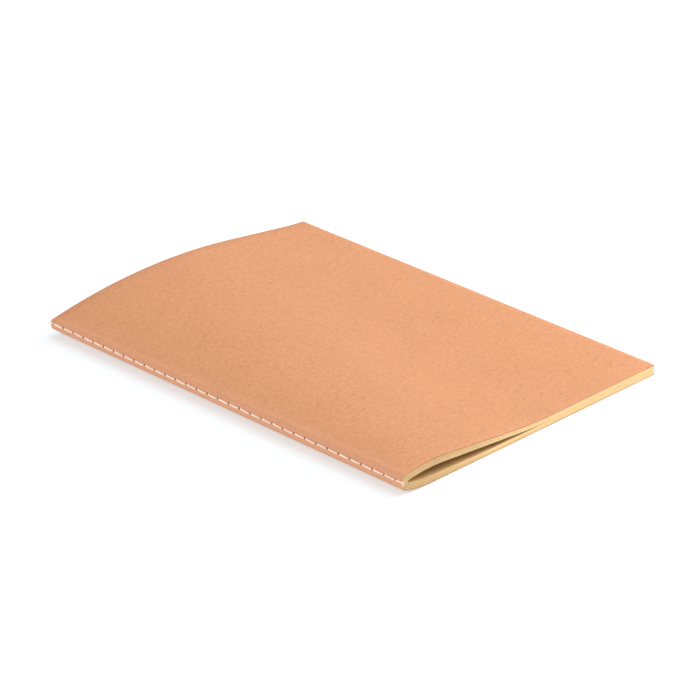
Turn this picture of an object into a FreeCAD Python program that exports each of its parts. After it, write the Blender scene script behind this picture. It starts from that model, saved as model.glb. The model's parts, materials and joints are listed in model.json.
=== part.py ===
import FreeCAD, Part
import math
import os
import Sketcher

# Pocket notebook, A6, one sewn section: 16 folded sheets and a card cover, sewn through the fold.
#
# Row frame: +Z up, +Y towards the head of the book, +X towards the fore-edge, millimetres.
# The origin is the middle of the flat underside. The book lies on its back cover.
#
# A leaf is one half of a folded sheet. The upper half of the book bows up and off the lower half.
# Every layer is a thin sheet through three sections, at the tail, halfway and at the head. A section
# runs from the fold outward: an arc round the fold, a long arc, a straight run, a small arc, a
# straight run to the fore-edge. Every layer has the same kind of section, a little further out.

# Driving dimensions in millimetres and degrees: alias, value.
SIZES = (
    ("width", 105.0),
    ("length", 148.0),
    ("leaf_thickness", 0.075),
    ("leaf_pitch", 0.082),
    ("cover_thickness", 0.28),
    ("back_clearance", 0.01),
    ("back_trim", 0.01),
    ("front_clearance", 0.05),
    ("middle_clearance", 0.05),
    ("sheets", 16),
    ("fold_height", 4.0),
    ("fold_slit", 0.15),
    ("inner_fold_radius", 0.05),
    ("tail_fold_pitch", 0.13),
    ("head_fold_pitch", 0.088),
    ("thread_radius", 0.14),
    ("stitch_pitch", 4.52),
    ("stitches", 32),
    ("head_margin", 1.06),
    ("needle_leg", 0.6),
    ("bobbin_leg", 1.25),
    ("bobbin_offset", 0.12),
    ("stitch_bend", 0.3),
    ("spring_angle", 11.0),
    ("tail_bow_radius", 50.0),
    ("head_bow_radius", 212.0),
    ("tail_fall_angle", 5.0),
    ("head_fall_angle", 8.0),
    ("tail_settle_run", 30.0),
    ("head_settle_run", 24.0),
    ("tail_toe_radius", 150.0),
    ("head_toe_radius", 120.0),
    ("tail_edge_angle", 0.0),
    ("head_edge_angle", 5.0),
    ("tail_drop_angle", 18.0),
    ("tail_drop_radius", 28.0),
    ("head_drop_angle", 20.0),
    ("head_drop_radius", 34.0),
    ("lower_settle_run", 26.0),
)

# Sections along the fold: name, share of the way from the tail to the head.
STATIONS = (("tail", 0.0), ("halfway", 0.5), ("head", 1.0))


def write_sheet(doc):
    """The driving dimensions, one row each, with an alias."""
    sheet = doc.addObject("Spreadsheet::Sheet", "sizes")
    for row, (alias, value) in enumerate(SIZES, start=1):
        sheet.set(f"A{row}", alias)
        sheet.set(f"B{row}", str(value))
        sheet.setAlias(f"B{row}", alias)
    doc.recompute()
    return sheet


def direction(angle):
    """Unit vector out of the stack where the sheet runs at this slope."""
    return FreeCAD.Vector(-math.sin(angle), math.cos(angle), 0)


class Section:
    """A section of one half of the book, seen from the tail: u from the spine, v out of the stack."""

    def __init__(self, sheet, share, upper):
        read = lambda alias: float(getattr(sheet, alias))
        along = lambda alias: (1 - share) * read("tail_" + alias) + share * read("head_" + alias)
        self.upper = upper
        self.sheet = sheet
        self.count = int(sheet.sheets)
        self.width = read("width")
        self.fold_pitch = along("fold_pitch")
        self.leaf_pitch = read("leaf_pitch")
        self.inner_radius = read("inner_fold_radius")
        self.back = read("back_clearance")
        self.clearance = read("front_clearance") if upper else self.back
        self.cover = read("cover_thickness")
        side = 1 if upper else -1
        self.side = side
        self.fold_v = read("fold_height") + side * read("fold_slit")
        self.middle_v = self.cover + self.back + self.count * self.leaf_pitch
        self.fold_u = self.cover_radius() + self.cover
        if not upper:
            self.fold_u += read("front_clearance") - self.back
        if upper:
            self.rise = math.radians(read("spring_angle"))
            self.bow = along("bow_radius")
            self.fall = math.radians(along("fall_angle"))
            self.toe = along("toe_radius")
            self.edge = math.radians(along("edge_angle"))
            self.settle = along("settle_run")
        else:
            self.rise = math.radians(along("drop_angle"))
            self.bow = along("drop_radius")
            self.toe = read("tail_toe_radius")
            self.edge = 0.0
            self.settle = read("lower_settle_run")

    def leaf_radius(self, layer):
        """Inner radius of a leaf at the fold; layer 0 is the one in the middle of the book."""
        return self.inner_radius + layer * self.fold_pitch

    def cover_radius(self):
        return self.leaf_radius(self.count) + self.clearance

    def place(self, point):
        """From the section's own u and v to the sketch's plane."""
        return FreeCAD.Vector(self.fold_u + point.x, self.fold_v + self.side * point.y, 0)

    def outward_at_edge(self, radius):
        """How far out of the stack the layer of this fold radius lies at the fore-edge."""
        layer = self.layer_of(radius)
        extra = self.clearance if radius > self.leaf_radius(self.count) else 0.0
        if self.upper:
            gap = float(self.sheet.middle_clearance)
            return self.middle_v + gap + layer * self.leaf_pitch + extra - self.fold_v
        return self.fold_v - self.middle_v + layer * self.leaf_pitch + extra

    def layer_of(self, radius):
        return min(self.count, (radius - self.inner_radius) / self.fold_pitch)

    def curve(self, radius, offset):
        """Corner points and arc middles of a layer's face, from the fold to the fore-edge.

        radius is the layer's inner radius at the fold and offset is how far this face is outside it.
        """
        target = self.outward_at_edge(radius)
        centre = FreeCAD.Vector(self.bow * math.sin(self.rise), -self.bow * math.cos(self.rise), 0)
        reach = self.bow + radius
        if self.upper:
            squeeze = (self.fold_pitch - self.leaf_pitch) / self.settle
            fall = self.fall + self.layer_of(radius) * squeeze
        else:
            left = target - radius - self.bow * (1 - math.cos(self.rise))
            fall = -left / self.settle
        bend = 1 if fall > self.edge else -1
        straight = self.straight_run(centre, reach, fall, bend, target)
        crest = direction(-fall)
        first = centre + crest * (reach + offset)
        second = first + FreeCAD.Vector(math.cos(fall), -math.sin(fall), 0) * straight
        toe_centre = centre + crest * reach
        toe_centre += FreeCAD.Vector(math.cos(fall), -math.sin(fall), 0) * straight
        toe_centre += crest * (bend * self.toe)
        toe_radius = self.toe - bend * offset
        halfway = direction(-(fall + self.edge) / 2)
        end_normal = direction(-self.edge)
        third = toe_centre - end_normal * (bend * toe_radius)
        rest = self.width - self.fold_u - third.x
        last = third + FreeCAD.Vector(rest, -rest * math.tan(self.edge), 0)
        outer = radius + offset
        return {
            "fold_start": self.place(FreeCAD.Vector(-outer, 0, 0)),
            "fold_middle": self.place(direction((self.rise + math.pi / 2) / 2) * outer),
            "fold_end": self.place(direction(self.rise) * outer),
            "bow_middle": self.place(centre + direction((self.rise - fall) / 2) * (reach + offset)),
            "bow_end": self.place(first),
            "toe_start": self.place(second),
            "toe_middle": self.place(toe_centre - halfway * (bend * toe_radius)),
            "toe_end": self.place(third),
            "edge": self.place(last),
        }

    def straight_run(self, centre, reach, fall, bend, target):
        """Length of the straight run that brings the layer to its height at the fore-edge."""
        start = centre + direction(-fall) * reach
        turn_u = bend * self.toe * (math.sin(fall) - math.sin(self.edge))
        turn_v = bend * self.toe * (math.cos(fall) - math.cos(self.edge))
        slope = math.tan(self.edge)
        left = start.y + turn_v - slope * (self.width - self.fold_u - start.x - turn_u) - target
        return left / (math.sin(fall) - slope * math.cos(fall))


def fold_edges(points):
    return [Part.Arc(points["fold_start"], points["fold_middle"], points["fold_end"])]


def panel_edges(points):
    return [
        Part.Arc(points["fold_end"], points["bow_middle"], points["bow_end"]),
        Part.LineSegment(points["bow_end"], points["toe_start"]),
        Part.Arc(points["toe_start"], points["toe_middle"], points["toe_end"]),
        Part.LineSegment(points["toe_end"], points["edge"]),
    ]


def outline(section, radius, thickness, fold, panel):
    """Closed outline of a layer's section, over its fold, its panel, or both."""
    inner = section.curve(radius, 0.0)
    outer = section.curve(radius, thickness)
    start = "fold_start" if fold else "fold_end"
    finish = "edge" if panel else "fold_end"
    edges = []
    for points in (inner, outer):
        if fold:
            edges += fold_edges(points)
        if panel:
            edges += panel_edges(points)
    edges.append(Part.LineSegment(inner[start], outer[start]))
    edges.append(Part.LineSegment(inner[finish], outer[finish]))
    return edges


def origin_plane(body, role):
    for feature in body.Origin.OriginFeatures:
        if feature.Role == role:
            return feature
    raise RuntimeError("no plane " + role)


def new_body(doc, label):
    """A body whose own origin is the spine's outer line, moved so that the book is centred."""
    body = doc.addObject("PartDesign::Body", label)
    body.Label = label
    body.setExpression("Placement.Base.x", "(sizes.thread_radius - sizes.width) / 2")
    return body


def section_sketch(body, station, share, edges):
    """A section's outline, across the book at a share of the way from the tail to the head."""
    sketch = body.newObject("Sketcher::SketchObject", body.Label + "_" + station)
    sketch.AttachmentSupport = (origin_plane(body, "XZ_Plane"), [""])
    sketch.MapMode = "FlatFace"
    sketch.setExpression("AttachmentOffset.Base.z", f"sizes.length * {0.5 - share}")
    sketch.addGeometry(edges, False)
    return sketch


def add_layer(doc, label, sections, layer, fold=True, panel=True, trim=0.0):
    """One leaf, or a piece of the cover, as a loft through its sections from the tail to the head."""
    body = new_body(doc, label)
    sketches = []
    for station, share in STATIONS:
        section = sections[station]
        if layer < section.count:
            radius = section.leaf_radius(layer)
            thickness = float(section.sheet.leaf_thickness)
        else:
            radius = section.cover_radius()
            thickness = section.cover + trim
        edges = outline(section, radius, thickness, fold, panel)
        sketches.append(section_sketch(body, station, share, edges))
    loft = body.newObject("PartDesign::AdditiveLoft", label + "_loft")
    loft.Profile = sketches[0]
    loft.Sections = sketches[1:]
    loft.Ruled = True
    return body


def flatten_underside(body):
    """Trim the back cover to one true plane where the notebook rests on it."""
    below = body.newObject("PartDesign::SubtractiveBox", body.Label + "_underside")
    below.setExpression("Length", "sizes.width * 1.2")
    below.setExpression("Width", "sizes.length * 1.2")
    below.setExpression("Height", "sizes.cover_thickness")
    below.setExpression("Placement.Base.x", "-sizes.width * 0.1")
    below.setExpression("Placement.Base.y", "-sizes.length * 0.6")
    below.setExpression("Placement.Base.z", "-sizes.cover_thickness")
    return body


def stitch_path(body, leg):
    """One stitch from above: out of a hole, along the fold, and into the next hole."""
    sketch = body.newObject("Sketcher::SketchObject", body.Label + "_path")
    sketch.AttachmentSupport = (origin_plane(body, "XY_Plane"), [""])
    sketch.MapMode = "FlatFace"
    bend = 0.3
    pitch = 4.5
    reach = 0.6
    up = FreeCAD.Vector(0, 0, 1)
    low_centre = FreeCAD.Vector(bend, bend, 0)
    high_centre = FreeCAD.Vector(bend, pitch - bend, 0)
    sketch.addGeometry([
        Part.LineSegment(FreeCAD.Vector(reach, 0, 0), FreeCAD.Vector(bend, 0, 0)),
        Part.ArcOfCircle(Part.Circle(low_centre, up, bend), math.pi, 1.5 * math.pi),
        Part.LineSegment(FreeCAD.Vector(0, bend, 0), FreeCAD.Vector(0, pitch - bend, 0)),
        Part.ArcOfCircle(Part.Circle(high_centre, up, bend), 0.5 * math.pi, math.pi),
        Part.LineSegment(FreeCAD.Vector(bend, pitch, 0), FreeCAD.Vector(reach, pitch, 0)),
    ], False)
    first_leg, low_bend, bar, high_bend, last_leg = range(5)
    start, end, origin, axis_x, axis_y = 1, 2, -1, -1, -2
    add = lambda *terms: sketch.addConstraint(Sketcher.Constraint(*terms))
    add("Tangent", first_leg, end, low_bend, end)
    add("Tangent", low_bend, start, bar, start)
    add("Tangent", bar, end, high_bend, end)
    add("Tangent", high_bend, start, last_leg, start)
    add("PointOnObject", first_leg, start, axis_x)
    add("PointOnObject", bar, start, axis_y)
    add("Vertical", bar)
    add("Vertical", first_leg, start, last_leg, end)
    add("Equal", low_bend, high_bend)
    radius = add("Radius", low_bend, bend)
    reach_row = add("DistanceX", origin, start, first_leg, start, reach)
    pitch_row = add("DistanceY", first_leg, start, last_leg, end, pitch)
    sketch.setExpression(f"Constraints[{radius}]", "sizes.stitch_bend")
    sketch.setExpression(f"Constraints[{reach_row}]", leg)
    sketch.setExpression(f"Constraints[{pitch_row}]", "sizes.stitch_pitch")
    return sketch


def stitch_profile(body, leg):
    """The thread's round section at the inner end of the first leg."""
    sketch = body.newObject("Sketcher::SketchObject", body.Label + "_section")
    sketch.AttachmentSupport = (origin_plane(body, "YZ_Plane"), [""])
    sketch.MapMode = "FlatFace"
    sketch.setExpression("AttachmentOffset.Base.z", leg)
    drawn_radius = 0.14
    centre = FreeCAD.Vector(0, 0, 0)
    sketch.addGeometry(Part.Circle(centre, FreeCAD.Vector(0, 0, 1), drawn_radius), False)
    sketch.addConstraint(Sketcher.Constraint("Coincident", 0, 3, -1, 1))
    radius = sketch.addConstraint(Sketcher.Constraint("Radius", 0, drawn_radius))
    sketch.setExpression(f"Constraints[{radius}]", "sizes.thread_radius")
    return sketch


def add_thread_end(body, name, length, start):
    """The straight run from an outermost hole to the trimmed end of the fold."""
    run = body.newObject("PartDesign::AdditiveCylinder", body.Label + name)
    along_fold = FreeCAD.Rotation(FreeCAD.Vector(1, 0, 0), -90)
    run.Placement = FreeCAD.Placement(FreeCAD.Vector(0, 0, 0), along_fold)
    run.setExpression("Radius", "sizes.thread_radius")
    run.setExpression("Height", length)
    run.setExpression("Placement.Base.y", start)
    return run


def add_thread(doc, label, leg, before, after):
    """A row of stitches along the fold. The first hole is at the body's own origin."""
    body = doc.addObject("PartDesign::Body", label)
    body.Label = label
    path = stitch_path(body, leg)
    profile = stitch_profile(body, leg)
    pipe = body.newObject("PartDesign::AdditivePipe", label + "_stitch")
    pipe.Profile = profile
    pipe.Spine = (path, [])
    doc.recompute()
    row = body.newObject("PartDesign::LinearPattern", label + "_row")
    row.Originals = [pipe]
    row.Direction = (path, ["V_Axis"])
    row.setExpression("Length", "sizes.stitch_pitch * (sizes.stitches - 1)")
    row.setExpression("Occurrences", "sizes.stitches")
    body.Tip = row
    doc.recompute()
    row_length = "sizes.stitch_pitch * sizes.stitches"
    add_thread_end(body, "_first_run", f"{before} + sizes.stitch_bend", f"-({before})")
    add_thread_end(body, "_last_run", f"{after} + sizes.stitch_bend", f"{row_length} - sizes.stitch_bend")
    return body


def add_needle_thread(doc):
    """The thread that shows along the outside of the fold, from the tail to the head."""
    row_length = "sizes.stitch_pitch * sizes.stitches"
    tail_margin = f"(sizes.length - sizes.head_margin - {row_length})"
    body = add_thread(doc, "needle_thread", "sizes.needle_leg", tail_margin, "sizes.head_margin")
    body.setExpression("Placement.Base.x", "(sizes.thread_radius - sizes.width) / 2")
    body.setExpression("Placement.Base.y", f"{tail_margin} - sizes.length / 2")
    body.setExpression("Placement.Base.z", "sizes.fold_height")
    return body


def add_bobbin_thread(doc):
    """The thread in the gutter of the middle sheet. The fold is tighter at the head, so it slants."""
    row_length = "sizes.stitch_pitch * sizes.stitches"
    tail_margin = f"(sizes.length - sizes.head_margin - {row_length})"
    body = add_thread(doc, "bobbin_thread", "sizes.bobbin_leg", "sizes.head_margin", tail_margin)
    stack = "sizes.inner_fold_radius + sizes.front_clearance + sizes.cover_thickness"
    gutter = f"{stack} + sizes.sheets * sizes.head_fold_pitch + sizes.bobbin_offset"
    slant = "atan(sizes.sheets * (sizes.tail_fold_pitch - sizes.head_fold_pitch) / sizes.length)"
    body.setExpression("Placement.Base.x", f"(sizes.thread_radius - sizes.width) / 2 + {gutter}")
    body.setExpression("Placement.Base.y", "sizes.length / 2 - sizes.head_margin")
    body.setExpression("Placement.Base.z", "sizes.fold_height")
    body.setExpression("Placement.Rotation.Angle", f"180deg + {slant}")
    return body


def add_book(doc, sheet):
    """Every piece of the notebook, from the front cover down to the back cover, and its threads."""
    upper = {station: Section(sheet, share, True) for station, share in STATIONS}
    lower = {station: Section(sheet, share, False) for station, share in STATIONS}
    count = int(sheet.sheets)
    pieces = [
        add_layer(doc, "front_cover", upper, count, fold=False),
        add_layer(doc, "spine_fold", upper, count, panel=False),
    ]
    for number in range(count):
        pieces.append(add_layer(doc, f"leaf_{number + 1:02d}", upper, count - 1 - number))
    for number in range(count):
        pieces.append(add_layer(doc, f"leaf_{count + number + 1:02d}", lower, number))
    back_cover = add_layer(doc, "back_cover", lower, count, trim=float(sheet.back_trim))
    pieces.append(flatten_underside(back_cover))
    pieces.append(add_needle_thread(doc))
    pieces.append(add_bobbin_thread(doc))
    return pieces


def check(doc, pieces):
    """Stop if anything failed to build or any piece isn't one valid solid."""
    for item in doc.Objects:
        if {"Invalid", "Error"} & set(item.State):
            raise RuntimeError(f"{item.Label} failed: {item.State}")
    for piece in pieces:
        shape = piece.Shape
        if shape.isNull() or not shape.isValid() or len(shape.Solids) != 1:
            raise RuntimeError(f"{piece.Label} isn't one valid solid")
        print(f"{piece.Label}: {shape.Volume:.1f} mm3")


def main():
    doc = FreeCAD.newDocument("pocket_notebook")
    sheet = write_sheet(doc)
    pieces = add_book(doc, sheet)
    doc.recompute()
    check(doc, pieces)
    os.makedirs("parts", exist_ok=True)
    for piece in pieces:
        piece.Shape.exportStep(f"parts/{piece.Label}.step")


if __name__ == "__main__":
    main()
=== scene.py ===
import json
import math
import random

import bpy
import bmesh
import numpy as np
from mathutils import Matrix, Vector


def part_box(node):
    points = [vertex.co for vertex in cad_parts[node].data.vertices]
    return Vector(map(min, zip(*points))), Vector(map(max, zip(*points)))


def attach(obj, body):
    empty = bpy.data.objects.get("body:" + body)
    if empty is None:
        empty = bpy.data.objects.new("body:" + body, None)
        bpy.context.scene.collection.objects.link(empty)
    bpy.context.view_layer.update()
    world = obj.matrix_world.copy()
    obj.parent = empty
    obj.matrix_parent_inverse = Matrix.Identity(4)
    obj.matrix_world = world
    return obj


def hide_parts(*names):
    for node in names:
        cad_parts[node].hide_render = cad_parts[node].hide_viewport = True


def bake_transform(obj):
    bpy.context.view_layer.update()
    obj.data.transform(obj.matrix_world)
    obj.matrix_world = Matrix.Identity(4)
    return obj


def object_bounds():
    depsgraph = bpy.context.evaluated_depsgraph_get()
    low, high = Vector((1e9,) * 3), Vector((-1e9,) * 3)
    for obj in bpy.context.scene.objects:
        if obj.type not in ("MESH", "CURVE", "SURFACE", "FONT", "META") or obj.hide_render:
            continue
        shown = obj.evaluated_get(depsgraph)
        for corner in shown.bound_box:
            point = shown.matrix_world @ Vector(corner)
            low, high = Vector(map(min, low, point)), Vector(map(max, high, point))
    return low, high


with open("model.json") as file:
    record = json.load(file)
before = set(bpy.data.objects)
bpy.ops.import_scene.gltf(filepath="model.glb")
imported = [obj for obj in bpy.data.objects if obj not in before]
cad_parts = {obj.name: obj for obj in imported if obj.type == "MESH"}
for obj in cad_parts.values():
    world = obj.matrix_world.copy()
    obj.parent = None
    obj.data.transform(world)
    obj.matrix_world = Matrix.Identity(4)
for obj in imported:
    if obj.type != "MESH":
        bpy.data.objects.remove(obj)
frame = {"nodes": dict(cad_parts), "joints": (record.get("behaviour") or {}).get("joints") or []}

# The pocket notebook lies closed on its back cover. Lengths below are millimetres in the part's frame:
# x from the spine to the fore-edge, y from the tail to the head, z up.
MM = 0.001
LEAVES = [f"leaf_{number:02d}" for number in range(1, 33)]
UPPER_LEAVES = LEAVES[:16]

rng = random.Random(41)
first_low, first_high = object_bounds()
half_length = first_high.y / MM
STATIONS = (-half_length, 0.0, half_length)
joints = {joint["name"]: joint for joint in frame["joints"]}
fold_z = joints["centre_fold"]["pos_m"][2] / MM


# ---------------------------------------------------------------- section curves of the CAD pieces

# How near a point has to be to count as on the cutting plane, by the fold, or on the arc round it.
ON_PLANE = 1e-3
BY_FOLD = 0.5
ON_ARC = 0.004


def plane_edges(node, y):
    """Where a CAD piece's sides meet the plane at y: edges, with the surface's tangents at their ends."""
    mesh = frame["nodes"][node].data
    points = np.zeros(len(mesh.vertices) * 3)
    mesh.vertices.foreach_get("co", points)
    points = points.reshape(-1, 3) / MM
    corners = np.zeros(len(mesh.loops), dtype=int)
    mesh.loops.foreach_get("vertex_index", corners)
    corners = corners.reshape(-1, 3)
    normals = np.zeros(len(mesh.loops) * 3)
    mesh.corner_normals.foreach_get("vector", normals)
    normals = normals.reshape(-1, 3, 3)
    height = points[:, 1] - y
    side = np.where(np.abs(height) < ON_PLANE, 0, np.sign(height)).astype(int)[corners]
    touching = (side.min(axis=1) <= 0) & (side.max(axis=1) >= 0) & (np.abs(side).sum(axis=1) > 0)
    edges = {}
    for triangle in np.flatnonzero(touching):
        met = []
        for k in range(3):
            here, onward = side[triangle][k], side[triangle][(k + 1) % 3]
            a, b = corners[triangle][k], corners[triangle][(k + 1) % 3]
            if here == 0:
                met.append((points[a][[0, 2]], normals[triangle][k][[0, 2]]))
            elif here * onward < 0:
                t = height[a] / (height[a] - height[b])
                met.append(((points[a] * (1 - t) + points[b] * t)[[0, 2]], normals[triangle][k][[0, 2]]))
        if len(met) != 2:
            continue
        (a, _), (b, _) = met
        keys = [tuple(np.round(point, 4)) for point, _ in met]
        if keys[0] == keys[1]:
            continue
        tangents = []
        for _, normal in met:
            tangent = np.array([normal[1], -normal[0]])
            tangent /= np.linalg.norm(tangent) + 1e-12
            tangents.append(tangent * (1 if tangent @ (b - a) > 0 else -1))
        edges[frozenset(keys)] = {keys[0]: tangents[0], keys[1]: tangents[1], "from": keys[0]}
    return edges


def long_chains(node, y):
    """The two long sides of a piece's section, each from the fold to the fore-edge.

    The inner side comes first, except on the back cover.
    """
    edges = plane_edges(node, y)
    joined = {}
    for pair in edges:
        a, b = tuple(pair)
        joined.setdefault(a, []).append(b)
        joined.setdefault(b, []).append(a)
    loop = [min(joined)]
    previous = None
    while True:
        onward = [p for p in joined[loop[-1]] if p != previous and (p != loop[0] or len(loop) > 2)]
        previous = loop[-1]
        if not onward or onward[0] == loop[0]:
            break
        loop.append(onward[0])
    count = len(loop)
    turns = []
    for i in range(count):
        before = np.subtract(loop[i], loop[i - 1])
        after = np.subtract(loop[(i + 1) % count], loop[i])
        cosine = before @ after / (np.linalg.norm(before) * np.linalg.norm(after))
        turns.append((cosine, i))
    corners = sorted(i for _, i in sorted(turns)[:4])
    sides = []
    for i, corner in enumerate(corners):
        stop = corners[(i + 1) % 4]
        stop += count if stop <= corner else 0
        side = [loop[k % count] for k in range(corner, stop + 1)]
        sides.append(side if side[0][0] <= side[-1][0] else side[::-1])
    sides.sort(key=lambda side: sum(math.dist(a, b) for a, b in zip(side, side[1:])))
    long_sides = sorted(sides[-2:], key=lambda side: np.mean([abs(p[1] - fold_z) for p in side]))
    return [Chain(side, edges) for side in long_sides]


class Chain:
    """A smooth curve through the points of one side of a section."""

    def __init__(self, side, edges):
        self.points = np.array(side)
        self.tangents = []
        for a, b in zip(side, side[1:]):
            edge = edges[frozenset((a, b))]
            sign = 1 if edge["from"] == a else -1
            self.tangents.append((edge[a] * sign, edge[b] * sign))
        chords = np.linalg.norm(np.diff(self.points, axis=0), axis=1)
        self.lengths = np.concatenate([[0.0], np.cumsum(chords)])
        self.fold = self.fold_length()

    def fold_length(self):
        """Length of the arc round the fold, if the curve begins with one."""
        x, z = self.points[0]
        px, pz = self.points[1]
        if abs(z - fold_z) > BY_FOLD:
            return 0.0
        centre_x = (px * px - x * x + (pz - z) ** 2) / (2 * (px - x))
        radius = centre_x - x
        last = 1
        for index, point in enumerate(self.points[1:], start=1):
            if abs(math.dist(point, (centre_x, z)) - radius) > ON_ARC:
                break
            last = index
        return self.lengths[last]

    def at(self, length):
        """The point at this length along the curve."""
        index = int(np.searchsorted(self.lengths, length, side="right")) - 1
        index = min(max(index, 0), len(self.tangents) - 1)
        chord = self.lengths[index + 1] - self.lengths[index]
        t = min(max((length - self.lengths[index]) / chord, 0.0), 1.0)
        start, end = self.tangents[index]
        return (
            (2 * t**3 - 3 * t**2 + 1) * self.points[index]
            + (t**3 - 2 * t**2 + t) * chord * start
            + (3 * t**2 - 2 * t**3) * self.points[index + 1]
            + (t**3 - t**2) * chord * end
        )

    def sample(self, fold_shares, panel_shares):
        """Points at shares of the fold's arc, then at shares of the panel after it."""
        lengths = [self.fold * share for share in fold_shares]
        panel = self.lengths[-1] - self.fold
        lengths += [self.fold + panel * share for share in panel_shares]
        return np.array([self.at(length) for length in lengths])


def along_book(stations, rows):
    """Points at each y in rows, curving smoothly through the three stations' points."""
    made = []
    for y in rows:
        share = (y + half_length) / (2 * half_length)
        weights = (
            2 * (share - 0.5) * (share - 1),
            -4 * share * (share - 1),
            2 * share * (share - 0.5),
        )
        flat = sum(weight * points for weight, points in zip(weights, stations))
        made.append(np.column_stack([flat[:, 0], np.full(len(flat), y), flat[:, 1]]))
    return np.array(made)


# ---------------------------------------------------------------- meshes

MM_PER_CM = 10
SHARP_ANGLE = math.radians(40)


def add_mesh(name, points, faces, material, uvs=None, values=None):
    """A mesh object from points in millimetres. uvs are centimetres along the sheet, one per point."""
    mesh = bpy.data.meshes.new(name)
    mesh.from_pydata([tuple(p) for p in np.asarray(points) * MM], [], faces)
    if uvs is not None:
        layer = mesh.uv_layers.new(name="sheet")
        corner_points = np.zeros(len(mesh.loops), dtype=int)
        mesh.loops.foreach_get("vertex_index", corner_points)
        layer.data.foreach_set("uv", np.asarray(uvs, dtype=np.float32)[corner_points].ravel())
    for key, numbers in (values or {}).items():
        domain = "POINT" if len(numbers) == len(mesh.vertices) else "FACE"
        attribute = mesh.attributes.new(key, "FLOAT", domain)
        attribute.data.foreach_set("value", np.asarray(numbers, dtype=np.float32))
    work = bmesh.new()
    work.from_mesh(mesh)
    bmesh.ops.recalc_face_normals(work, faces=work.faces)
    work.to_mesh(mesh)
    work.free()
    mesh.shade_smooth()
    mesh.set_sharp_from_angle(angle=SHARP_ANGLE)
    mesh.materials.append(material)
    made = bpy.data.objects.new(name, mesh)
    bpy.context.scene.collection.objects.link(made)
    return made


def sheet_faces(rows, columns, open_start=False, open_end=False):
    """Faces of a thin sheet: an outer grid, then an inner grid of the same size, and its rims."""
    inner = rows * columns
    faces = []
    for r in range(rows - 1):
        for c in range(columns - 1):
            a = r * columns + c
            faces.append((a, a + 1, a + columns + 1, a + columns))
            faces.append((inner + a, inner + a + columns, inner + a + columns + 1, inner + a + 1))
    for c in range(columns - 1):
        for r in (0, rows - 1):
            a = r * columns + c
            faces.append((a, a + 1, inner + a + 1, inner + a))
    for r in range(rows - 1):
        for c, is_open in ((0, open_start), (columns - 1, open_end)):
            a = r * columns + c
            if not is_open:
                faces.append((a, a + columns, inner + a + columns, inner + a))
    return faces


def add_sheet(name, outer, inner, reach, material, values=None, **ends):
    """A sheet between two grids of points; reach is each column's distance from the spine's middle."""
    rows, columns = outer.shape[:2]
    points = np.concatenate([outer.reshape(-1, 3), inner.reshape(-1, 3)])
    uvs = np.column_stack([np.tile(reach, rows * 2), points[:, 1]]) / MM_PER_CM
    faces = sheet_faces(rows, columns, **ends)
    sides = 2 * (rows - 1) * (columns - 1)
    values = {"rim": np.arange(len(faces)) >= sides, **(values or {})}
    return add_mesh(name, points, faces, material, uvs, values)


def tube(path, radius, sides=8):
    """Points and faces of a round tube along a path, with closed ends."""
    path = np.asarray(path, dtype=float)
    count = len(path)
    radii = np.broadcast_to(radius, count)
    along = np.gradient(path, axis=0)
    along /= np.linalg.norm(along, axis=1)[:, None] + 1e-12
    across = np.cross(along[0], (0.31, 0.22, 0.92))
    points = []
    for i in range(count):
        across = across - (across @ along[i]) * along[i]
        across /= np.linalg.norm(across) + 1e-12
        other = np.cross(along[i], across)
        for k in range(sides):
            angle = 2 * math.pi * k / sides
            points.append(path[i] + radii[i] * (math.cos(angle) * across + math.sin(angle) * other))
    faces = []
    for i in range(count - 1):
        for k in range(sides):
            a, b = i * sides + k, i * sides + (k + 1) % sides
            faces.append((a, b, b + sides, a + sides))
    faces.append(tuple(range(sides))[::-1])
    faces.append(tuple(range((count - 1) * sides, count * sides)))
    return points, faces


def smooth_path(keys, steps):
    """A Catmull-Rom curve through the key points."""
    keys = np.asarray(keys, dtype=float)
    padded = np.concatenate([[2 * keys[0] - keys[1]], keys, [2 * keys[-1] - keys[-2]]])
    made = []
    for i in range(len(keys) - 1):
        a, b, c, d = padded[i : i + 4]
        for step in range(steps):
            t = step / steps
            made.append(
                0.5 * (2 * b + (c - a) * t + (2 * a - 5 * b + 4 * c - d) * t**2
                       + (3 * b - a - 3 * c + d) * t**3)
            )
    made.append(keys[-1])
    return np.array(made)


class Strands:
    """Collects many tubes into one mesh."""

    def __init__(self):
        self.points, self.faces = [], []

    def add(self, path, radius, sides=8):
        points, faces = tube(path, radius, sides)
        start = len(self.points)
        self.points += list(points)
        self.faces += [tuple(start + i for i in face) for face in faces]

    def add_twisted(self, path, ply, spread, pitch, phase=0.0):
        """Two plies twisted round a path."""
        lengths = np.concatenate([[0.0], np.cumsum(np.linalg.norm(np.diff(path, axis=0), axis=1))])
        along = np.gradient(path, axis=0)
        along /= np.linalg.norm(along, axis=1)[:, None] + 1e-12
        side = np.cross(along, (0.12, 0.1, 1.0))
        side /= np.linalg.norm(side, axis=1)[:, None] + 1e-12
        other = np.cross(along, side)
        for half_turn in (0.0, math.pi):
            angle = (2 * math.pi * lengths / pitch + phase + half_turn)[:, None]
            offset = np.cos(angle) * side + np.sin(angle) * other
            self.add(path + np.broadcast_to(spread, len(path))[:, None] * offset, ply, 7)


# ---------------------------------------------------------------- materials

def new_material(name):
    """A node material, its shader node and a helper that adds linked nodes."""
    material = bpy.data.materials.new(name)
    material.use_nodes = True
    nodes = material.node_tree.nodes
    links = material.node_tree.links
    shader = nodes["Principled BSDF"]

    def add(kind, inputs=None, **settings):
        node = nodes.new(kind)
        for key, value in settings.items():
            setattr(node, key, value)
        for key, value in (inputs or {}).items():
            if isinstance(value, bpy.types.NodeSocket):
                links.new(value, node.inputs[key])
            else:
                node.inputs[key].default_value = value
        return node

    return material, shader, add, links


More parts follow.
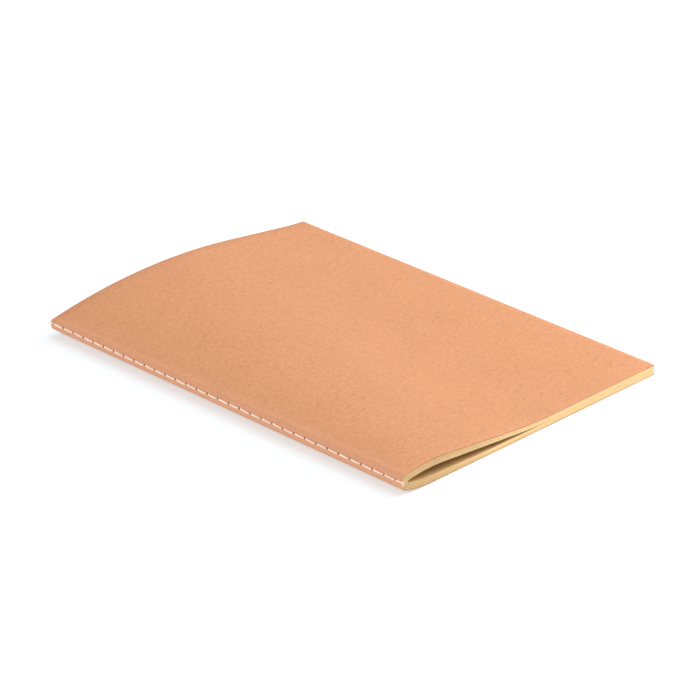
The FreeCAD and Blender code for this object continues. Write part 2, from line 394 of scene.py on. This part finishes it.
def sheet_noise(add, coords, scale, detail=3.0, rough=0.55, stretch=(1, 1, 1), turn=0.0):
    """Noise over a sheet, scale in features per centimetre."""
    placed = add("ShaderNodeMapping", {"Vector": coords, "Scale": stretch, "Rotation": (0, 0, turn)})
    return add("ShaderNodeTexNoise", {
        "Vector": placed.outputs[0], "Scale": scale, "Detail": detail, "Roughness": rough,
    }).outputs["Fac"]


def spread(add, value, low, high, to_low, to_high):
    """The value with the range low to high mapped onto to_low to to_high, and clamped."""
    return add("ShaderNodeMapRange", {
        "Value": value, "From Min": low, "From Max": high, "To Min": to_low, "To Max": to_high,
    }).outputs[0]


def tint(add, base, colour, share):
    """The base colour with a share of another mixed in."""
    node = add("ShaderNodeMix", data_type="RGBA")
    for socket, value in ((0, share), (6, base), (7, colour)):
        if isinstance(value, bpy.types.NodeSocket):
            node.id_data.links.new(value, node.inputs[socket])
        else:
            node.inputs[socket].default_value = value
    return node.outputs[2]


def fleck_mask(add, coords, per_cm, size, chosen, turn=0.0, stretch=(1, 1, 1)):
    """Scattered small flecks: 1 inside one, 0 between them."""
    placed = add("ShaderNodeMapping", {"Vector": coords, "Scale": stretch, "Rotation": (0, 0, turn)})
    cells = add("ShaderNodeTexVoronoi", {"Vector": placed.outputs[0], "Scale": per_cm})
    near = spread(add, cells.outputs["Distance"], size * 0.5, size, 1.0, 0.0)
    pick = add("ShaderNodeSeparateColor", {0: cells.outputs["Color"]})
    some = add("ShaderNodeMath", {0: pick.outputs[0], 1: chosen}, operation="GREATER_THAN")
    return add("ShaderNodeMath", {0: near, 1: some.outputs[0]}, operation="MULTIPLY").outputs[0]


def make_card():
    """Uncoated kraft card: mottled, with short fibres and a few light and dark flecks."""
    material, shader, add, links = new_material("kraft_card")
    coords = add("ShaderNodeUVMap", uv_map="sheet").outputs[0]
    cloudy = sheet_noise(add, coords, 0.55, 3.0)
    grain = sheet_noise(add, coords, 9.0, 3.0, 0.6)
    fibres = sheet_noise(add, coords, 6.0, 3.0, 0.6, (1, 2, 1), 0.5)
    crossing = sheet_noise(add, coords, 3.2, 3.0, 0.6, (1, 1.8, 1), -0.9)
    colour = tint(add, CARD, CARD_LIGHT, spread(add, cloudy, 0.32, 0.68, 0.0, 0.7))
    colour = tint(add, colour, CARD_DARK, spread(add, grain, 0.45, 0.66, 0.0, 0.26))
    colour = tint(add, colour, CARD_PALE, spread(add, fibres, 0.52, 0.68, 0.0, 0.24))
    colour = tint(add, colour, CARD_DARK, spread(add, crossing, 0.52, 0.7, 0.0, 0.2))
    pale = fleck_mask(add, coords, 5.0, 0.16, 0.80, 0.7, (1, 1.9, 1))
    dark = fleck_mask(add, coords, 5.0, 0.22, 0.84, 0.2, (1.5, 1, 1))
    colour = tint(add, colour, CARD_PALE, spread(add, pale, 0, 1, 0, 0.45))
    colour = tint(add, colour, CARD_FLECK, spread(add, dark, 0, 1, 0, 0.5))
    # Within about 5 mm of the middle of the spine the card is pinker and lighter: partly the card's own
    # tint where it is folded, partly painted light that brightens the curved fold.
    across = add("ShaderNodeSeparateXYZ", {0: coords}).outputs[0]
    distance = add("ShaderNodeMath", {0: across}, operation="ABSOLUTE").outputs[0]
    fold_pink_and_painted_light = spread(add, distance, 0.02, 0.5, 0.55, 0.0)
    colour = tint(add, colour, CARD_FOLD_PINK_AND_LIGHT, fold_pink_and_painted_light)
    # Painted shade in the needle holes and in the small tears beside them.
    painted_hole_shade = add("ShaderNodeAttribute", attribute_name="painted_hole_shade").outputs["Fac"]
    colour = tint(add, colour, HOLE_PAINTED_SHADE, painted_hole_shade)
    # Sheets cover the card's inner face in a real book, so what the open gutter shows has their colour.
    lined = add("ShaderNodeAttribute", attribute_name="lined").outputs["Fac"]
    colour = tint(add, colour, PAPER_FACE_PAINTED_SHADE, lined)
    links.new(colour, shader.inputs["Base Color"])
    shader.inputs["Roughness"].default_value = 0.82
    shader.inputs["Specular IOR Level"].default_value = 0.22
    height = add("ShaderNodeMath", {0: grain, 1: fibres}, operation="ADD").outputs[0]
    bump = add("ShaderNodeBump", {"Height": height, "Strength": 0.12, "Distance": 0.00003})
    links.new(bump.outputs[0], shader.inputs["Normal"])
    return material


def make_paper():
    """Uncoated cream writing paper. Each leaf has its own tone. The faces are darker than the cut rims of
    the same paper: painted shade that darkens the gap between the two halves.
    """
    material, shader, add, links = new_material("cream_paper")
    coords = add("ShaderNodeUVMap", uv_map="sheet").outputs[0]
    cloudy = sheet_noise(add, coords, 1.2, 3.0)
    fibre = sheet_noise(add, coords, 22.0, 4.0, 0.65, (1, 2.4, 1), 0.4)
    tone = add("ShaderNodeAttribute", attribute_name="tone").outputs["Fac"]
    colour = tint(add, PAPER_FACE_PAINTED_SHADE, PAPER_DEEP, tone)
    colour = tint(add, colour, PAPER_DEEP, spread(add, cloudy, 0.35, 0.7, 0.0, 0.18))
    colour = tint(add, colour, PAPER_PALE, spread(add, fibre, 0.5, 0.75, 0.0, 0.3))
    # The cut rims keep the paper's light cream; the faces' darker colour is painted shade.
    rim = add("ShaderNodeAttribute", attribute_name="rim").outputs["Fac"]
    colour = tint(add, colour, tint(add, PAPER_CUT, PAPER_CUT_DEEP, tone), rim)
    links.new(colour, shader.inputs["Base Color"])
    shader.inputs["Roughness"].default_value = 0.88
    shader.inputs["Specular IOR Level"].default_value = 0.18
    bump = add("ShaderNodeBump", {"Height": fibre, "Strength": 0.25, "Distance": 0.00004})
    links.new(bump.outputs[0], shader.inputs["Normal"])
    return material


def make_thread():
    """Cream sewing thread, unevenly coloured."""
    material, shader, add, links = new_material("sewing_thread")
    coords = add("ShaderNodeTexCoord").outputs["Object"]
    fibre = add("ShaderNodeTexNoise", {"Vector": coords, "Scale": 9000.0, "Detail": 3.0}).outputs["Fac"]
    patch = add("ShaderNodeTexNoise", {"Vector": coords, "Scale": 500.0, "Detail": 2.0}).outputs["Fac"]
    colour = tint(add, THREAD, THREAD_SHADE, spread(add, fibre, 0.4, 0.7, 0.0, 0.5))
    colour = tint(add, colour, THREAD_PALE, spread(add, patch, 0.4, 0.7, 0.0, 0.6))
    links.new(colour, shader.inputs["Base Color"])
    shader.inputs["Roughness"].default_value = 0.6
    shader.inputs["Specular IOR Level"].default_value = 0.35
    bump = add("ShaderNodeBump", {"Height": fibre, "Strength": 0.3, "Distance": 0.00003})
    links.new(bump.outputs[0], shader.inputs["Normal"])
    return material


def make_floor():
    """A pale floor that gives off some light of its own, for the white background of a studio photo."""
    material, shader, add, links = new_material("studio_floor")
    coords = add("ShaderNodeTexCoord").outputs["Object"]
    soft = add("ShaderNodeTexNoise", {"Vector": coords, "Scale": 2.0}).outputs["Fac"]
    colour = tint(add, FLOOR, FLOOR_DEEP, soft)
    links.new(colour, shader.inputs["Base Color"])
    shader.inputs["Emission Color"].default_value = FLOOR_GLOW
    shader.inputs["Emission Strength"].default_value = GLOW_STRENGTH
    shader.inputs["Roughness"].default_value = 0.9
    shader.inputs["Specular IOR Level"].default_value = 0.0
    return material


# Colours are linear.
CARD = (0.585, 0.268, 0.132, 1)
CARD_LIGHT = (0.615, 0.287, 0.144, 1)
CARD_DARK = (0.36, 0.145, 0.062, 1)
CARD_PALE = (0.76, 0.42, 0.25, 1)
CARD_FLECK = (0.30, 0.12, 0.06, 1)
# Pinker, lighter card by the spine: partly the card's own tint, partly painted light on the fold.
CARD_FOLD_PINK_AND_LIGHT = (0.78, 0.38, 0.24, 1)
# Painted shade for the needle holes and tears.
HOLE_PAINTED_SHADE = (0.15, 0.055, 0.022, 1)
# The leaves' faces, darker than their cut rims: painted shade for the gap between the halves.
PAPER_FACE_PAINTED_SHADE = (0.64, 0.41, 0.18, 1)
PAPER_DEEP = (0.52, 0.31, 0.12, 1)
PAPER_PALE = (0.78, 0.57, 0.32, 1)
PAPER_CUT = (0.97, 0.68, 0.36, 1)
PAPER_CUT_DEEP = (0.76, 0.49, 0.22, 1)
THREAD = (0.93, 0.74, 0.60, 1)
THREAD_SHADE = (0.62, 0.44, 0.34, 1)
THREAD_PALE = (0.96, 0.84, 0.74, 1)
FLOOR = (0.62, 0.64, 0.65, 1)
FLOOR_DEEP = (0.60, 0.62, 0.63, 1)
FLOOR_GLOW = (0.89, 0.965, 1.0, 1)
GLOW_STRENGTH = 0.44
SKY = (0.95, 0.975, 1.0, 1)
SKY_STRENGTH = 0.28

card = make_card()
paper = make_paper()
thread = make_thread()


# ---------------------------------------------------------------- leaves

FOLD_SHARES = [k / 7 for k in range(7)]
PANEL_SHARES = [0.5 * (k / 16) ** 1.2 for k in range(16)] + [0.5 + 0.5 * k / 16 for k in range(17)]
LEAF_ROWS = np.linspace(-half_length, half_length, 17)
GAP_SHIFT = 0.02
FADE_COLUMNS = 15
TRIM_SPREAD = 0.05


def leaf_grids(leaf):
    """Outer and inner grids of a leaf, each sheet a little off its even place and its even trim."""
    stations = [long_chains(leaf, y) for y in STATIONS]
    inner = [pair[0].sample(FOLD_SHARES, PANEL_SHARES) for pair in stations]
    outer = [pair[1].sample(FOLD_SHARES, PANEL_SHARES) for pair in stations]
    shift = rng.uniform(-GAP_SHIFT, GAP_SHIFT)
    fade = np.clip(1 - np.arange(len(inner[0])) / (len(FOLD_SHARES) + FADE_COLUMNS), 0, 1)[:, None]
    for a, b in zip(inner, outer):
        outward = b - a
        outward /= np.linalg.norm(outward, axis=1)[:, None]
        a += outward * shift * fade
        b += outward * shift * fade
    for stack in (inner, outer):
        for k, points in enumerate(stack):
            middle = np.array([[points[0][0], fold_z]])
            stack[k] = np.concatenate([middle, points])
    reach = np.concatenate([[0.0], np.cumsum(np.linalg.norm(np.diff(outer[1], axis=0), axis=1))])
    rows = LEAF_ROWS.copy()
    rows[0] += rng.uniform(0, TRIM_SPREAD)
    rows[-1] -= rng.uniform(0, TRIM_SPREAD)
    grids = [along_book(stack, rows) for stack in (outer, inner)]
    short = rng.uniform(0, TRIM_SPREAD)
    for grid in grids:
        grid[:, -1, 0] -= short
    return grids[0], grids[1], reach


for leaf in LEAVES:
    upper = leaf in UPPER_LEAVES
    outer, inner, reach = leaf_grids(leaf)
    tone = rng.uniform(0.0, 0.9)
    count = outer.shape[0] * outer.shape[1] * 2
    piece = add_sheet(leaf + "_paper", outer, inner, reach, paper, {"tone": [tone] * count})
    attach(piece, "front_half" if upper else "back_half")
    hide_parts(leaf)


# ---------------------------------------------------------------- cover

INNER, OUTER = 0, 1
RIM = 0.05
RIM_STEP = 0.35
PANEL_STEPS = 22
ARC_STEPS = 10
# Along the card from the middle of the spine: the strip's two edges and the row of stitches.
STRIP_UP, STRIP_DOWN = 1.6, 0.8
ROW = 0.75
SLIT = 0.15
COVER_RISE = math.radians(11)
COVER_ROWS = np.linspace(-half_length, half_length, 41)
front = [long_chains("front_cover", y) for y in STATIONS]
spine = [long_chains("spine_fold", y) for y in STATIONS]
# The back cover's outer side starts further out at the fold, so this puts its inner side first too.
back = [sorted(long_chains("back_cover", y), key=lambda chain: -chain.points[0][0]) for y in STATIONS]


def rounded_rows(rows):
    """Rows for a card with softened rims: each row's y and how far its faces draw together."""
    low, high = rows[0], rows[-1]
    start = [(low, 1.0), (low + RIM * RIM_STEP, RIM_STEP), (low + RIM, 0.0)]
    end = [(high - RIM, 0.0), (high - RIM * RIM_STEP, RIM_STEP), (high, 1.0)]
    return start + [(y, 0.0) for y in rows[1:-1]] + end


def card_piece(outer, inner, rows, **ends):
    """Grids of a card's outer and inner faces, drawn together at its rims to soften them."""
    spaced = rounded_rows(rows)
    ys = [y for y, _ in spaced]
    pinch = np.array([p for _, p in spaced])[:, None, None]
    outer_grid, inner_grid = along_book(outer, ys), along_book(inner, ys)
    across = inner_grid - outer_grid
    across /= np.linalg.norm(across, axis=2)[:, :, None]
    at_edge = np.zeros(outer_grid.shape[1])
    if not ends.get("open_end"):
        at_edge[-1], at_edge[-2] = 1.0, RIM_STEP
    drawn = np.maximum(pinch, at_edge[None, :, None]) * RIM
    outer_grid = outer_grid + across * drawn
    inner_grid = inner_grid - across * drawn
    return outer_grid, inner_grid


def edge_columns(length):
    """Lengths along a panel, closer together near the fold and at its rim."""
    near = [length * 0.5 * (k / PANEL_STEPS) ** 1.5 for k in range(PANEL_STEPS)]
    far = [length * (0.5 + 0.5 * k / PANEL_STEPS) for k in range(PANEL_STEPS)]
    return near + far + [length - RIM, length - RIM * RIM_STEP, length]


def front_stations(side):
    """Station curves of the front card, from the strip at the spine over the crease to the fore-edge."""
    made = []
    for spine_pair, front_pair in zip(spine, front):
        arc, panel = spine_pair[side], front_pair[side]
        start = (STRIP_UP - SLIT) * arc.lengths[-1] / spine_pair[1].lengths[-1]
        lengths = np.linspace(start, arc.lengths[-1], ARC_STEPS)[:-1]
        points = [arc.at(length) for length in lengths]
        points += [panel.at(length) for length in edge_columns(panel.lengths[-1])]
        made.append(np.array(points))
    return made


def back_stations(side):
    """Station curves of the back card, from the strip at the spine to the fore-edge."""
    made = []
    for pair in back:
        curve = pair[side]
        start = (STRIP_DOWN - SLIT) * curve.fold / pair[1].fold
        points = [curve.at(length) for length in np.linspace(start, curve.fold, ARC_STEPS)[:-1]]
        panel = curve.lengths[-1] - curve.fold
        points += [curve.at(curve.fold + length) for length in edge_columns(panel)]
        made.append(np.array(points))
    return made


def reach_of(points):
    """Distance along a line of points from its start."""
    return np.concatenate([[0.0], np.cumsum(np.linalg.norm(np.diff(points, axis=0), axis=1))])


stations = front_stations(OUTER)
reach = STRIP_UP + reach_of(stations[1])
outer, inner = card_piece(stations, front_stations(INNER), COVER_ROWS)
front_card = add_sheet("front_cover_card", outer, inner, reach, card, open_start=True)

stations = back_stations(OUTER)
reach = -STRIP_DOWN - reach_of(stations[1])
outer, inner = card_piece(stations, back_stations(INNER), COVER_ROWS)
back_card = add_sheet("back_cover_card", outer, inner, reach, card, open_start=True)

# The strip of card over the middle of the spine, which the stitches pass through. The needle thread's
# legs end deepest in the sheets, with one group of points for each hole.
LEG_END = 0.02
LEGS_APART = 1.0
needle = np.array([tuple(v.co / MM) for v in frame["nodes"]["needle_thread"].data.vertices])
leg_ends = np.sort(needle[needle[:, 0] > needle[:, 0].max() - LEG_END][:, 1])
groups = np.split(leg_ends, np.flatnonzero(np.diff(leg_ends) > LEGS_APART) + 1)
holes = np.array([group.mean() for group in groups])
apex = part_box("spine_fold")[0].x / MM


def strip_stations(side, places):
    """Station curves of the strip at distances from the middle of the spine, below it negative."""
    made = []
    for spine_pair, back_pair in zip(spine, back):
        above, below = spine_pair[side], back_pair[side]
        share_above = above.lengths[-1] / spine_pair[1].lengths[-1]
        share_below = below.fold / back_pair[1].fold
        points = []
        for place in places:
            if place > SLIT:
                points.append(above.at((place - SLIT) * share_above))
            elif place < -SLIT:
                points.append(below.at((-place - SLIT) * share_below))
            else:
                points.append(np.array([above.points[0][0], fold_z + place]))
        made.append(np.array(points))
    return made


def swell(distance, width, power=2):
    """1 in the middle of a mark, about 0.37 at its width, and near 0 at twice that."""
    return math.exp(-((distance / width) ** power))


# What sewing does to the card: a groove along the row, and at each hole a dent and a small slanting tear
# beside it. Both are darkened with painted shade, standing in for the shade inside the holes and tears.
GROOVE_DEPTH, GROOVE_WIDTH = 0.04, 0.26
HOLE_STRETCH, HOLE_WIDTH = 1.35, 0.3
DENT_DEPTH, DENT_WIDTH = 0.2, 0.26
TEAR_DEPTH, TEAR_LENGTH, TEAR_WIDTH = 0.07, 0.2, 0.3
TEAR_ALONG, TEAR_UP, TEAR_SLANT = 0.25, 0.45, 0.5
MARK_SHARE, MARK_LENGTH, MARK_WIDTH = 0.45, 0.16, 0.24
MARK_ALONG, MARK_UP = 0.3, 0.38
ROWS_APART = 0.03
strip_places = np.concatenate([
    np.linspace(-STRIP_DOWN, ROW - 0.5, 9),
    np.linspace(ROW - 0.4, ROW + 0.4, 17),
    np.linspace(ROW + 0.5, STRIP_UP, 5),
])
hole_steps = (-0.7, -0.55, -0.45, -0.36, -0.28, -0.2, -0.1, 0.0, 0.1, 0.2, 0.28, 0.36, 0.45, 0.55, 0.7)
strip_rows = {round(hole + step, 4) for hole in holes for step in hole_steps}
strip_rows |= {round(y, 4) for y in np.linspace(-half_length, half_length, 149)}
strip_rows = sorted(y for y in strip_rows if abs(y) <= half_length)
strip_rows = [y for k, y in enumerate(strip_rows) if k == 0 or y - strip_rows[k - 1] > ROWS_APART]
strip_rows[-1] = half_length
outer, inner = card_piece(
    strip_stations(OUTER, strip_places), strip_stations(INNER, strip_places), strip_rows, open_end=True
)
pull = [(rng.uniform(0.8, 1.2), rng.uniform(-0.05, 0.05), rng.uniform(0.3, 1.0)) for _ in holes]
painted_hole_shade = np.zeros(outer.shape[:2])
for r in range(outer.shape[0]):
    y = outer[r, 0, 1]
    k = int(np.argmin(np.abs(holes - y)))
    strength, aside, torn = pull[k]
    past = y - holes[k]
    between = (y - holes[0]) / (holes[1] - holes[0]) % 1.0
    groove = GROOVE_DEPTH * math.sin(math.pi * between) ** 2
    for c, place in enumerate(strip_places):
        up = place - ROW
        edge = max(0.0, 1 - (abs(up) / (STRIP_UP - ROW)) ** 4)
        span = math.hypot(past / HOLE_STRETCH, up - aside)
        dent = DENT_DEPTH * strength * swell(span, DENT_WIDTH)
        slope = up - TEAR_UP - past * TEAR_SLANT
        tear = TEAR_DEPTH * torn * swell(past - TEAR_ALONG, TEAR_LENGTH) * swell(slope, TEAR_WIDTH)
        outer[r, c, 0] += (dent + tear + groove * swell(up, GROOVE_WIDTH)) * edge
        # Painted shade: dark in each hole and in the tear beside it.
        mark = swell(past - MARK_ALONG, MARK_LENGTH) * swell(up - MARK_UP, MARK_WIDTH)
        painted_hole_shade[r, c] = swell(span, HOLE_WIDTH, 4) + MARK_SHARE * torn * mark
lined = np.concatenate([np.zeros(painted_hole_shade.size), np.ones(painted_hole_shade.size)])
values = {"painted_hole_shade": np.tile(np.clip(painted_hole_shade, 0, 1).ravel(), 2), "lined": lined}
spine_strip = add_sheet(
    "spine_fold_card", outer, inner, strip_places, card, values, open_start=True, open_end=True
)

crease_axis = Vector(joints["cover_fold"]["axis"])
over_crease = Vector((math.cos(COVER_RISE), 0, math.sin(COVER_RISE)))
over_crease = (over_crease - crease_axis * over_crease.dot(crease_axis)).normalized()
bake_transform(front_card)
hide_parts("front_cover", "spine_fold")
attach(back_card, "back_half")
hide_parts("back_cover")
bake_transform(spine_strip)


# ---------------------------------------------------------------- the gutter of the middle sheet

# The flaps reach from the fold of the middle sheet to FLAP_STOP inside the outermost point of the
# spine, and close the slit that the CAD leaves for the needle holes.
FLAP_THICKNESS = 0.07
FLAP_CLEARANCE = 0.004
FLAP_STOP = 0.34
FLAP_MARGIN = 0.6
FLAP_REACH = 2.4
FLAP_TONE = 0.15
for name, leaf, body, side in (
    ("gutter_upper", "leaf_16", "front_half", 1),
    ("gutter_lower", "leaf_17", "back_half", -1),
):
    starts = [long_chains(leaf, y)[INNER].points[0][0] for y in STATIONS]
    shares = np.linspace(0.0, 1.0, 7)
    low = [
        np.array([[start + (apex + FLAP_STOP - start) * t, fold_z + side * FLAP_CLEARANCE] for t in shares])
        for start in starts
    ]
    high = [points + np.array([0, side * FLAP_THICKNESS]) for points in low]
    rows = np.linspace(-half_length + FLAP_MARGIN, half_length - FLAP_MARGIN, 21)
    outer, inner = along_book(low, rows), along_book(high, rows)
    tones = [FLAP_TONE] * (outer.shape[0] * outer.shape[1] * 2)
    flap = add_sheet(name, outer, inner, shares * FLAP_REACH, paper, {"tone": tones})
    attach(flap, body)


# ---------------------------------------------------------------- threads

PLY = 0.15
PLY_SPREAD = 0.13
BOBBIN_PLY = 0.075
BOBBIN_SPREAD = 0.065
TWIST = 1.25
SQUEEZED, SQUEEZE_RUN = 0.55, 0.9
FRAYED_STRANDS = 11
GUTTER_DEPTH = 0.14
row_places = [ROW - 0.05, ROW, ROW + 0.05]
row_curve = along_book(strip_stations(OUTER, row_places), np.linspace(-half_length, half_length, 75))


def on_spine(y, out, up):
    """A point by the stitch row: out from the card and up along it."""
    inside = np.clip(y, -half_length, half_length)
    below, here, above = (
        np.array([np.interp(inside, row_curve[:, c, 1], row_curve[:, c, axis]) for axis in (0, 2)])
        for c in range(3)
    )
    along = (above - below) / np.linalg.norm(above - below)
    x, z = here + along * up + np.array([-along[1], along[0]]) * out
    return (x, y, z)


def narrowing(path, keep):
    """Shares of a strand's full size, down to keep where it is squeezed at its two ends."""
    lengths = np.concatenate([[0.0], np.cumsum(np.linalg.norm(np.diff(path, axis=0), axis=1))])
    from_end = np.minimum(lengths, lengths[-1] - lengths)
    return keep + (1 - keep) * np.clip(from_end / SQUEEZE_RUN, 0, 1) ** 0.7


# Each stitch rises out of its hole, lies along the row at a slant and goes back in at the next. Its keys
# are the distance along the row from the hole, the distance out from the card and a share of the slant.
sewing = Strands()
for a, b in zip(holes, holes[1:]):
    slant = rng.uniform(0.05, 0.14)
    rise = rng.uniform(0.16, 0.22)
    gap = rng.uniform(0.40, 0.50)
    wander = rng.uniform(-0.04, 0.04)
    shape = (
        (gap - 0.02, -0.5, -1.0), (gap, -0.2, -1.0), (gap + 0.12, 0.07, -0.95), (gap + 0.5, rise, -0.7),
        ((b - a) / 2, rise + 0.03, wander * 8), (b - a - gap - 0.5, rise, 0.7),
        (b - a - gap - 0.12, 0.07, 0.95), (b - a - gap, -0.2, 1.0), (b - a - gap + 0.02, -0.5, 1.0),
    )
    path = smooth_path([on_spine(a + y, out, slant * tilt) for y, out, tilt in shape], 7)
    squeeze = narrowing(path, SQUEEZED)
    sewing.add_twisted(path, PLY * squeeze, PLY_SPREAD * squeeze, TWIST, rng.uniform(0, 6))
tail_end, head_end = -half_length, half_length
keys = [(holes[0] - 0.36, -0.5, 0.0), (holes[0] - 0.4, -0.1, 0.0), (holes[0] - 0.7, 0.18, 0.0),
        (holes[0] - 1.4, 0.2, 0.05), (tail_end + 0.15, 0.2, 0.1)]
path = smooth_path([on_spine(*key) for key in keys], 7)
sewing.add_twisted(path, PLY, PLY_SPREAD, TWIST, 1.0)
for _ in range(FRAYED_STRANDS):
    out, up = rng.uniform(-0.25, 0.4), rng.uniform(-0.9, 0.6)
    reach_out = rng.uniform(0.8, 1.8)
    keys = [(tail_end + 0.25, 0.2, 0.1), (tail_end - reach_out * 0.3, 0.2 + out * 0.3, 0.1 + up * 0.2),
            (tail_end - reach_out * 0.7, 0.2 + out, 0.1 + up * 0.7),
            (tail_end - reach_out, 0.1 + out * 1.4, 0.1 + up)]
    sewing.add(smooth_path([on_spine(*key) for key in keys], 6), np.linspace(0.09, 0.035, 19), 6)
keys = [(holes[-1] + 0.36, -0.5, 0.0), (holes[-1] + 0.4, -0.1, 0.0), (holes[-1] + 0.65, 0.17, 0.0),
        (head_end - 0.25, 0.2, 0.1), (head_end + 0.18, 0.1, 0.3), (head_end + 0.26, -0.35, 0.75),
        (head_end + 0.18, -0.6, 1.3)]
path = smooth_path([on_spine(*key) for key in keys], 7)
sewing.add_twisted(path, PLY, PLY_SPREAD, TWIST, 2.0)
needle_piece = add_mesh("needle_thread_twist", sewing.points, sewing.faces, thread)
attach(needle_piece, "front_half")
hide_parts("needle_thread")

bobbin = np.array([tuple(v.co / MM) for v in frame["nodes"]["bobbin_thread"].data.vertices])
gutter_x = np.polyfit(*zip(*[
    (y, bobbin[np.abs(bobbin[:, 1] - y) < 1.5][:, 0].max() - GUTTER_DEPTH) for y in holes[1:-1]
]), 1)
# The bobbin thread lies along the gutter, drawn in at each hole. Its keys are x from the gutter, y from
# the hole and z from the fold.
lower = Strands()
for a, b in zip(holes, holes[1:]):
    lift = rng.uniform(0.0, 0.05)
    keys = [(-0.9, 0.02, 0.0), (-0.3, 0.05, 0.0), (-0.04, 0.3, lift), (0.0, (b - a) / 2, lift),
            (-0.04, b - a - 0.3, lift), (-0.3, b - a - 0.05, 0.0), (-0.9, b - a - 0.02, 0.0)]
    placed = [(np.polyval(gutter_x, a + y) + x, a + y, fold_z + z) for x, y, z in keys]
    lower.add_twisted(smooth_path(placed, 6), BOBBIN_PLY, BOBBIN_SPREAD, TWIST, rng.uniform(0, 6))
for start, stop in ((holes[0], tail_end + 0.05), (holes[-1], head_end - 0.05)):
    placed = [(np.polyval(gutter_x, y) - inward, y, fold_z) for inward, y in (
        (0.9, start), (0.3, start), (0.03, start + 0.3 * np.sign(stop)),
        (0.0, (start + stop) / 2), (0.0, stop))]
    lower.add_twisted(smooth_path(placed, 6), BOBBIN_PLY, BOBBIN_SPREAD, TWIST)
bobbin_piece = add_mesh("bobbin_thread_twist", lower.points, lower.faces, thread)
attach(bobbin_piece, "back_half")
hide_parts("bobbin_thread")


# ---------------------------------------------------------------- floor, light and camera

floor_mesh = bpy.data.meshes.new("studio_floor")
FLOOR_REACH = 3.0
FLOOR_DROP = 0.02
floor_corners = [(x * FLOOR_REACH, y * FLOOR_REACH, 0) for x, y in ((-1, -1), (1, -1), (1, 1), (-1, 1))]
floor_mesh.from_pydata(floor_corners, [], [(0, 1, 2, 3)])
floor_mesh.materials.append(make_floor())
floor = bpy.data.objects.new("studio_floor", floor_mesh)
bpy.context.scene.collection.objects.link(floor)
floor.location.z = -FLOOR_DROP * MM

world = bpy.data.worlds.new("studio")
bpy.context.scene.world = world
world.use_nodes = True
world.node_tree.nodes["Background"].inputs["Color"].default_value = SKY
world.node_tree.nodes["Background"].inputs["Strength"].default_value = SKY_STRENGTH


def softbox(name, place, aim, size, power):
    """A rectangular light facing its aim: places and size in metres, power in watts."""
    light = bpy.data.lights.new(name, "AREA")
    light.shape = "RECTANGLE"
    light.size, light.size_y = size
    light.energy = power
    lamp = bpy.data.objects.new(name, light)
    lamp.location = place
    lamp.rotation_euler = (Vector(aim) - Vector(place)).to_track_quat("-Z", "Y").to_euler()
    bpy.context.scene.collection.objects.link(lamp)


softbox("overhead", (0.2, 0.0, 1.3), (0, 0, 0), (1.3, 1.3), 7.9)
softbox("right_fill", (0.47, -0.18, 0.28), (0.03, -0.02, 0), (0.45, 0.35), 3.8)
softbox("spine_fill", (-0.85, -0.15, 0.55), (0, 0, 0), (0.9, 0.6), 5.4)
softbox("tail_fill", (0.15, -1.0, 0.35), (0, 0, 0), (0.5, 0.4), 1.3)

# The view of the photo, in degrees and in millimetres.
AZIMUTH, ELEVATION, ROLL = -43.973, 26.177, -1.197
AIM = Vector((2.85, 2.54, 0.0)) * MM
DISTANCE = 1258.0 * MM
a, e, r = (math.radians(angle) for angle in (AZIMUTH, ELEVATION, ROLL))
backward = Vector((math.sin(a) * math.cos(e), -math.cos(a) * math.cos(e), math.sin(e)))
level = Vector((math.cos(a), math.sin(a), 0))
upright = backward.cross(level)
right = math.cos(r) * level + math.sin(r) * upright
up = -math.sin(r) * level + math.cos(r) * upright
camera_data = bpy.data.cameras.new("camera")
camera_data.lens = 217.73
camera_data.sensor_width = 36.0
camera = bpy.data.objects.new("camera", camera_data)
bpy.context.scene.collection.objects.link(camera)
turned = Matrix((right, up, backward)).transposed().to_4x4()
camera.matrix_world = Matrix.Translation(AIM + backward * DISTANCE) @ turned
camera_data.clip_start, camera_data.clip_end = 0.05, 20.0
bpy.context.scene.camera = camera
bpy.context.scene.view_settings.view_transform = "Standard"
